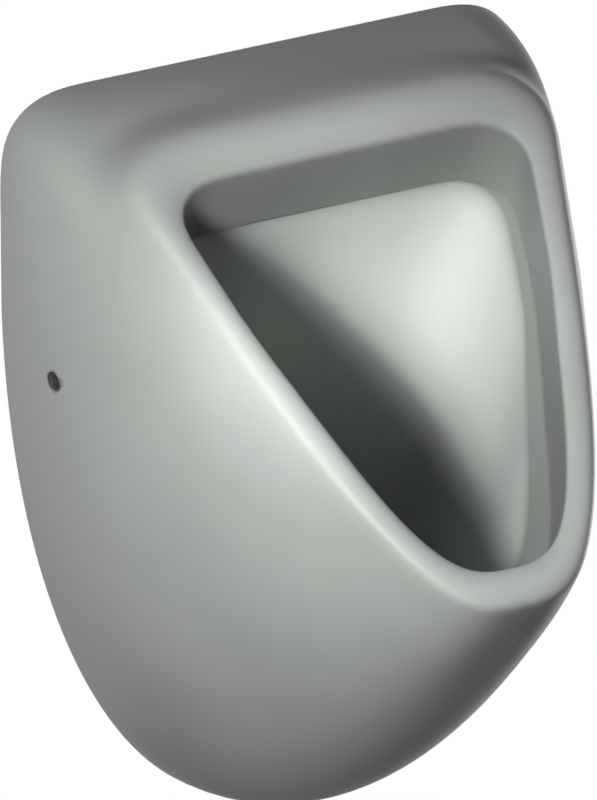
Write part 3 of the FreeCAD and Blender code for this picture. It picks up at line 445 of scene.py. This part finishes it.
# Behind, the fired clay is bare, chalky and finely pitted.
CLAY_DARK, CLAY_LIGHT, CLAY_PIT = (0.50, 0.475, 0.43), (0.60, 0.58, 0.53), (0.40, 0.38, 0.345)
bare, tree, shader, place = finish("bare_clay")
grit = noise(tree, place, scale=900, detail=4, roughness=0.7)
wash = noise(tree, place, scale=14, detail=4)
pits = between(tree, grit, 0, 0.5, start=0.55, end=0.75)
chalk = tinted(tree, pits, tinted(tree, wash, CLAY_DARK, CLAY_LIGHT), CLAY_PIT)
painted(tree, shader, chalk, between(tree, wash, 0.78, 0.92))
relief(tree, shader, grit, strength=0.25, distance=0.0008)

# In the side holes the glaze is painted nearly black as painted shade, with random mottling.
HOLE_SHADE_DARK, HOLE_SHADE_LIGHT = (0.042, 0.044, 0.041), (0.075, 0.078, 0.073)
hole_shade_glaze, tree, shader, place = finish("painted_hole_shade")
mottle = noise(tree, place, scale=160, detail=3)
painted(tree, shader, tinted(tree, mottle, HOLE_SHADE_DARK, HOLE_SHADE_LIGHT), between(tree, mottle, 0.4, 0.6))
shader.inputs["Specular IOR Level"].default_value = GLAZE_SHEEN
relief(tree, shader, mottle, strength=0.1, distance=0.0006)

# Painted light and shade in the glaze's colour, from 0 dark to 1 light: a base, painted light on the rim and
# most at its top and bottom, painted shade on the band and at its edge and in the crease, and from there
# painted light on the dish and painted shade near the drain.
SHADING_BASE, EDGE_SHADE = 0.5, 0.08
RIM_PAINTED_LIGHT, RIM_PAINTED_LIGHT_ENDS, RIM_PAINTED_LIGHT_PLACE, RIM_PAINTED_LIGHT_SPREAD = 0.12, 0.3, 4.0, 1.1
BAND_SHADE, BAND_SHADE_SPAN = 0.42, (5.0, 5.8)
CREASE_SHADE, DISH_PAINTED_LIGHT, DISH_PAINTED_LIGHT_SPAN = 0.42, 0.62, (1.4, 3.2)
DRAIN_SHADE, DRAIN_SHADE_SPAN = 0.3, (4.2, 7)
GLAZED, BARE, HOLE_SHADE = 0, 1, 2
CERAMIC_SHARP = math.radians(42)

body_points = np.concatenate(body_rows)
body_mesh = ring_mesh("ceramic", body_points, closed=True)
row = np.arange(len(body_points))
unglazed = (row >= glazed_rows) & (row < len(row) - SOFT_ROWS)
face_skin = np.where(np.repeat(unglazed, COLUMNS), BARE, GLAZED).astype(np.int32)
body_mesh.polygons.foreach_set("material_index", face_skin)
# Painted light on the rim and dish, painted shade on the band, at its edge, in the crease and near the drain.
near_rim = np.exp(-((outside_place - RIM_PAINTED_LIGHT_PLACE) / RIM_PAINTED_LIGHT_SPREAD) ** 2)
rim_painted_light = (RIM_PAINTED_LIGHT + RIM_PAINTED_LIGHT_ENDS * np.cos(turn) ** 2) * near_rim
bowl_start = len(outside_place) + SOFT_ROWS
light_and_shade = np.full(body_points.shape[:2], SHADING_BASE)
light_and_shade[:len(outside_place)] += rim_painted_light - BAND_SHADE * eased(outside_place, *BAND_SHADE_SPAN)
light_and_shade[len(outside_place):bowl_start] = EDGE_SHADE
bowl_shade = CREASE_SHADE - DISH_PAINTED_LIGHT * eased(bowl_place, *DISH_PAINTED_LIGHT_SPAN)
bowl_shade += DRAIN_SHADE * eased(bowl_place, *DRAIN_SHADE_SPAN)
light_and_shade[bowl_start:bowl_start + len(bowl_place)] -= bowl_shade
shading_layer = body_mesh.attributes.new("painted_light_and_shade", "FLOAT", "POINT")
shading_layer.data.foreach_set("value", light_and_shade.ravel())
ceramic = shown("ceramic", body_mesh)
for skin in (glaze, bare, hole_shade_glaze):
    ceramic.data.materials.append(skin)

# The flush inlet's boss is joined on behind. The flush channel, the inlet's seat and hole, and the side
# holes with their rounded lips are cut out.
inlet = point(0, 0, INLET_Z)
boss = [(INLET_BOSS_R, INLET_SEAT_F), (INLET_BOSS_R, INLET_BOSS_END)]
worked(ceramic, "UNION", turned("boss", boss, inlet, FORWARD), BARE)
channel_f, channel_z = np.array(CHANNEL, float).T
channel_x = np.array([[-CHANNEL_HALF], [CHANNEL_HALF]], float)
worked(ceramic, "DIFFERENCE", ring_mesh("channel", point(channel_x, channel_f, channel_z)), GLAZED)
seat = [(INLET_SEAT_R, -INLET_OVER), (INLET_SEAT_R, INLET_SEAT_F)]
worked(ceramic, "DIFFERENCE", turned("seat", seat, inlet, FORWARD), BARE)
hole = [(INLET_HOLE_R, INLET_SEAT_F - INLET_OVER), (INLET_HOLE_R, INLET_HOLE_END)]
worked(ceramic, "DIFFERENCE", turned("inlet_hole", hole, inlet, FORWARD), BARE)
lip_turn = np.linspace(0, 1, FIX_LIP_ROWS) * math.pi / 2
lip_radius = FIX_HOLE_R + FIX_LIP * (1 - np.cos(lip_turn))
lip_height = SIDE_OUTER + FIX_LIP * (np.sin(lip_turn) - FIX_LIP_SINK)
side_hole = [(FIX_SPOT_R, SIDE_INNER), (FIX_SPOT_R, SIDE_SPOT), (FIX_HOLE_R, SIDE_SPOT),
             *zip(lip_radius, lip_height), (FIX_HOLE_R + FIX_LIP, SIDE_OUTER + SIDE_OVER)]
# The side holes' walls get the nearly black painted shade.
for side in (RIGHT, -RIGHT):
    worked(ceramic, "DIFFERENCE", turned("side_hole", side_hole, point(0, FIX_F, 0), side, FIX_SIDES), HOLE_SHADE)
ceramic.data.polygons.foreach_set("use_smooth", np.ones(len(ceramic.data.polygons), bool))
ceramic.data.set_sharp_from_angle(angle=CERAMIC_SHARP)
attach(ceramic, "urinal")
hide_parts("ceramic_body")

# Wall brackets and their nuts. Four millimetre steel, bent and punched, then dipped in zinc, which
# freezes in patches of crystals. Two wall screws hold each, and a nut sits behind each side leg.

ZINC_DARK, ZINC_LIGHT, ZINC_DULL = (0.34, 0.355, 0.37), (0.47, 0.485, 0.50), (0.27, 0.275, 0.28)
PLACE_AND_SCALE = (("Place", "NodeSocketVector"), ("Scale", "NodeSocketFloat"))
FINER = 9


def node_group(name, inputs, outputs):
    """Empty shader group with named sockets; gives it with its input and output nodes."""
    made = bpy.data.node_groups.new(name, "ShaderNodeTree")
    for socket, kind in inputs:
        made.interface.new_socket(socket, in_out="INPUT", socket_type=kind)
    for socket, kind in outputs:
        made.interface.new_socket(socket, in_out="OUTPUT", socket_type=kind)
    return made, made.nodes.new("NodeGroupInput"), made.nodes.new("NodeGroupOutput")


def group_node(tree, made, **inputs):
    """Places a group in a material with its own values."""
    use = node(tree, "Group")
    use.node_tree = made
    for name, value in inputs.items():
        feed(tree, use.inputs[name], value)
    return use


# Handling film: broad noise times fine noise, where fingers and cloths have dulled the surface.
film, film_in, film_out = node_group("handling_film", PLACE_AND_SCALE, [("Film", "NodeSocketFloat")])
place, scale = film_in.outputs["Place"], film_in.outputs["Scale"]
broad = noise(film, place, scale, detail=3)
fine = noise(film, place, combined(film, "MULTIPLY", scale, FINER), detail=5, roughness=0.65)
both = combined(film, "MULTIPLY", between(film, broad, 0, 1, start=0.35, end=0.65),
                between(film, fine, 0, 1, start=0.3, end=0.7))
film.links.new(both, film_out.inputs["Film"])


def dress(paint, *names):
    """Puts a finish on solids whose shape stays."""
    for name in names:
        for slot in nodes[name].material_slots:
            slot.material = paint


zinc, tree, shader, place = finish("zinc_coat")
shader.inputs["Metallic"].default_value = 1
crystal = node(tree, "TexVoronoi", Vector=place, Scale=110, Randomness=1)
patch = node(tree, "SeparateColor", Color=crystal.outputs["Color"]).outputs[0]
dull = group_node(tree, film, Place=place, Scale=40.0).outputs["Film"]
coat = tinted(tree, between(tree, dull, 0, 0.6), tinted(tree, patch, ZINC_DARK, ZINC_LIGHT), ZINC_DULL)
painted(tree, shader, coat, between(tree, patch, 0.5, 0.68))
relief(tree, shader, noise(tree, place, scale=500, detail=3), strength=0.08, distance=0.0004)
dress(zinc, "left_wall_bracket", "right_wall_bracket", "bracket_nuts")

# Side screws and sleeves. Black oxide steel set screws with a rolled thread and a hexagon socket hold the
# ceramic to the brackets; a dark nylon sleeve in each side hole keeps the steel off the ceramic.

SCREW_START, SCREW_END, SCREW_R, SCREW_POINT, SCREW_CHAMFER = 124.6, 157.2, 4.0, 1, 0.8
SCREW_SIDES, SCREW_RINGS, SCREW_SHARP = 48, 232, math.radians(35)
THREAD_PITCH, THREAD_DEPTH = 1.25, 0.65
KEY_R, KEY_DEPTH, KEY_CHAMFER, KEY_TIP = 2.3, 5, 0.25, 0.6


def set_screw():
    """Rings along the screw's axis. The thread is a triangle wave of the height less one turn's share of the
    pitch, faded out at both ends; the last rings step to a hexagon by the distance to its flat sides."""
    angle = 2 * math.pi * np.arange(SCREW_SIDES) / SCREW_SIDES
    first, last = SCREW_START + SCREW_POINT, SCREW_END - SCREW_POINT
    height = np.linspace(first, last, SCREW_RINGS)[:, None]
    phase = np.mod(height / THREAD_PITCH - angle / (2 * math.pi), 1)
    ends = np.clip(np.minimum(height - first, last - height) / THREAD_PITCH, 0, 1)
    thread = SCREW_R - THREAD_DEPTH * (1 - np.abs(2 * phase - 1)) * ends
    flat = KEY_R * math.cos(math.pi / 6) / np.cos(np.mod(angle, math.pi / 3) - math.pi / 6)
    even = np.ones(SCREW_SIDES)
    radius = [even * (SCREW_R - SCREW_POINT), *thread, even * (SCREW_R - SCREW_CHAMFER),
              even * (KEY_R + KEY_CHAMFER), flat, flat, even * KEY_TIP]
    along_axis = [SCREW_START, *height[:, 0], SCREW_END, SCREW_END, SCREW_END - KEY_CHAMFER,
                  SCREW_END - KEY_DEPTH, SCREW_END - KEY_DEPTH - KEY_TIP]
    radius, along_axis = np.array(radius), np.array(along_axis)[:, None]
    return point(along_axis, FIX_F + radius * np.cos(angle), radius * np.sin(angle))


def worn_metal(name, scale, clean, dulled, smooth, rough):
    """Metal whose colour and roughness go from clean to dulled with the handling film; gives it with its
    tree, its shader and the piece's own coordinates."""
    made, tree, shader, place = finish(name)
    shader.inputs["Metallic"].default_value = 1
    dull = group_node(tree, film, Place=place, Scale=scale).outputs["Film"]
    painted(tree, shader, tinted(tree, dull, clean, dulled), between(tree, dull, smooth, rough))
    return made, tree, shader, place


right_screw = set_screw()
both_screws = bmesh.new()
both_screws.from_mesh(ring_mesh("right_screw", right_screw))
both_screws.from_mesh(ring_mesh("left_screw", right_screw * (-1, 1, 1)))
screw_mesh = bpy.data.meshes.new("side_screws")
both_screws.to_mesh(screw_mesh)
both_screws.free()
screw_mesh.set_sharp_from_angle(angle=SCREW_SHARP)
side_screws = shown("side_screws", screw_mesh)
blacked, tree, shader, place = worn_metal("black_oxide", scale=90.0, clean=(0.035, 0.035, 0.038),
                                          dulled=(0.085, 0.083, 0.082), smooth=0.42, rough=0.6)
relief(tree, shader, noise(tree, place, scale=1500, detail=2), strength=0.05, distance=0.0002)
side_screws.data.materials.append(blacked)
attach(side_screws, "urinal")
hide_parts("fixing_screws")

# Moulded grain: fine noise as height, and slow noise as a tone, for rubber and plastic pieces.
grain, grain_in, grain_out = node_group("moulded_grain", PLACE_AND_SCALE,
                                        [("Height", "NodeSocketFloat"), ("Tone", "NodeSocketFloat")])
place, scale = grain_in.outputs["Place"], grain_in.outputs["Scale"]
grain.links.new(noise(grain, place, scale, detail=3), grain_out.inputs["Height"])
flow = noise(grain, place, scale=22, detail=2)
grain.links.new(between(grain, flow, 0, 1, start=0.3, end=0.7), grain_out.inputs["Tone"])


def moulded(name, first, second, smooth, rough, scale, bump):
    """Plastic or rubber whose colour and gloss follow the slow tone and whose skin follows the grain."""
    made, tree, shader, place = finish(name)
    skin = group_node(tree, grain, Place=place, Scale=scale)
    tone = skin.outputs["Tone"]
    painted(tree, shader, tinted(tree, tone, first, second), between(tree, tone, smooth, rough))
    relief(tree, shader, skin.outputs["Height"], strength=bump, distance=0.0004)
    return made


nylon = moulded("dark_nylon", first=(0.030, 0.031, 0.033), second=(0.048, 0.049, 0.051), smooth=0.45,
                rough=0.6, scale=900.0, bump=0.12)
dress(nylon, "fixing_sleeves")

# Flush inlet. A turned brass spigot takes the flush pipe in a socket with a rubber lip ring; a washer and
# a nut in the flush channel draw it against a flanged rubber seal.

rubber = moulded("black_rubber", first=(0.016, 0.016, 0.017), second=(0.030, 0.030, 0.031), smooth=0.62,
                 rough=0.82, scale=700.0, bump=0.25)
brass, tree, shader, place = worn_metal("turned_brass", scale=45.0, clean=(0.66, 0.50, 0.25),
                                        dulled=(0.42, 0.29, 0.13), smooth=0.34, rough=0.54)
lines = node(tree, "TexWave", Vector=place, Scale=480, Distortion=0.6, Detail=1)
lines.bands_direction = "Y"
relief(tree, shader, lines.outputs[1], strength=0.06, distance=0.0002)
stainless, tree, shader, place = worn_metal("stainless", scale=60.0, clean=(0.60, 0.595, 0.58),
                                            dulled=(0.46, 0.45, 0.435), smooth=0.22, rough=0.42)
relief(tree, shader, noise(tree, place, scale=1500, detail=2), strength=0.05, distance=0.0002)
dress(brass, "inlet_spigot", "inlet_nut")
dress(rubber, "inlet_lip_ring", "inlet_seal")
dress(stainless, "inlet_washer")

# Spray head. A chromed cap on the spigot's thread with three fans of fine holes; its rubber ring seals
# the thread behind it.

chrome = worn_metal("chrome", scale=70.0, clean=(0.80, 0.81, 0.83), dulled=(0.62, 0.63, 0.64), smooth=0.06,
                    rough=0.22)[0]
dress(chrome, "spray_head")
dress(rubber, "spray_head_ring")

# Waste. A white plastic flange with a threaded tube clamps the drain between two rubber gaskets, held by a
# notched back nut from below.

white = moulded("white_plastic", first=(0.70, 0.71, 0.70), second=(0.77, 0.775, 0.755), smooth=0.32,
                rough=0.46, scale=800.0, bump=0.08)
dress(white, "waste_flange", "waste_back_nut")
dress(rubber, "waste_top_gasket", "waste_low_gasket")

# Trap housing. A grey plastic cup screws on the flange's tube over a rubber seal, and its socket towards
# the wall takes the waste pipe in a lip ring.

grey = moulded("grey_plastic", first=(0.235, 0.245, 0.255), second=(0.30, 0.31, 0.32), smooth=0.38,
               rough=0.55, scale=600.0, bump=0.12)
dress(grey, "trap_housing")
dress(rubber, "trap_seal", "outlet_lip_ring")

# Trap insert and strainer. The white dip tube with its rubber ring lifts out of the flange for cleaning;
# the punched stainless strainer drops into its mouth.

dress(white, "trap_insert")
dress(rubber, "insert_ring")
dress(stainless, "strainer")

# Studio: a pale floor, a soft key light close by on the front left with a narrow one beside it for the bowl,
# soft fills low on the right and behind, and a camera a long way off at the photograph's angle. The
# background is white.

LOOK = Vector((-0.0005, -0.0506, -0.0478))
TO_CAMERA = Vector((-0.4255, -0.8003, 0.4226)).normalized()
CAMERA_AWAY = 9
camera_data = bpy.data.cameras.new("camera")
camera_data.sensor_width = 36
camera_data.lens = 690.5
camera_data.clip_end = 100
camera = shown("camera", camera_data)
camera.location = LOOK + TO_CAMERA * CAMERA_AWAY
camera.rotation_euler = TO_CAMERA.to_track_quat("Z", "Y").to_euler()
bpy.context.scene.camera = camera


def soft_light(name, spot, aim, width, beam, watts):
    """Round area light at a spot, turned to its aim, with a beam so many degrees wide."""
    data = bpy.data.lights.new(name, "AREA")
    data.shape = "DISK"
    data.size = width
    data.energy = watts
    data.spread = math.radians(beam)
    lamp = shown(name, data)
    lamp.location = spot
    lamp.rotation_euler = (Vector(spot) - Vector(aim)).to_track_quat("Z", "Y").to_euler()


soft_light("key", spot=(-0.747, -0.792, 0.398), aim=(0, -0.12, -0.05), width=0.25, beam=100, watts=3.2)
soft_light("bowl_light", spot=(-0.735, -0.782, 0.432), aim=(0.068, -0.10, 0.012), width=0.06, beam=14,
           watts=0.045)
soft_light("right", spot=(1.45, 0.25, -0.35), aim=(0.1, -0.12, -0.05), width=0.8, beam=60, watts=1.3)
soft_light("rear", spot=(0.30, 1.5, -0.18), aim=(0, 0, -0.08), width=0.6, beam=70, watts=2.2)

FLOOR_Z, FLOOR_F, FLOOR_R, FLOOR_HUB, FLOOR_SIDES = -720, 150, 600, 1.0, 96
FLOOR_DARK, FLOOR_LIGHT, FLOOR_GLOW = (0.76, 0.76, 0.755), (0.82, 0.82, 0.815), 0.68
WHITE = (1, 1, 1, 1)
WORLD_FILL = 0.015
floor_angle = 2 * math.pi * np.arange(FLOOR_SIDES) / FLOOR_SIDES
floor_radius = np.array([[FLOOR_HUB], [FLOOR_R]])
floor_points = point(floor_radius * np.sin(floor_angle), FLOOR_F + floor_radius * np.cos(floor_angle),
                     FLOOR_Z)
floor_mesh = bpy.data.meshes.new("floor")
floor_mesh.from_pydata((floor_points.reshape(-1, 3) * MM).tolist(), [],
                       ring_faces(2, FLOOR_SIDES, False) + [list(range(FLOOR_SIDES))])
floor = shown("floor", floor_mesh)
floor_paint, tree, shader, place = finish("floor_paint")
speckle = noise(tree, place, scale=120, detail=4)
painted(tree, shader, tinted(tree, speckle, FLOOR_DARK, FLOOR_LIGHT), roughness=0.8)
shader.inputs["Emission Color"].default_value = WHITE
ray = node(tree, "LightPath")
glow = between(tree, ray.outputs["Is Camera Ray"], 0, FLOOR_GLOW)
tree.links.new(glow, shader.inputs["Emission Strength"])
floor.data.materials.append(floor_paint)

world = bpy.data.worlds.new("studio")
bpy.context.scene.world = world
world.use_nodes = True
tree = world.node_tree
background = tree.nodes["Background"]
background.inputs["Color"].default_value = WHITE
ray = node(tree, "LightPath")
mirrored_ray = combined(tree, "MAXIMUM", ray.outputs["Is Glossy Ray"], ray.outputs["Is Transmission Ray"])
any_ray = combined(tree, "MAXIMUM", ray.outputs["Is Camera Ray"], mirrored_ray)
tree.links.new(between(tree, any_ray, WORLD_FILL, 1), background.inputs["Strength"])
bpy.context.scene.view_settings.view_transform = "Standard"
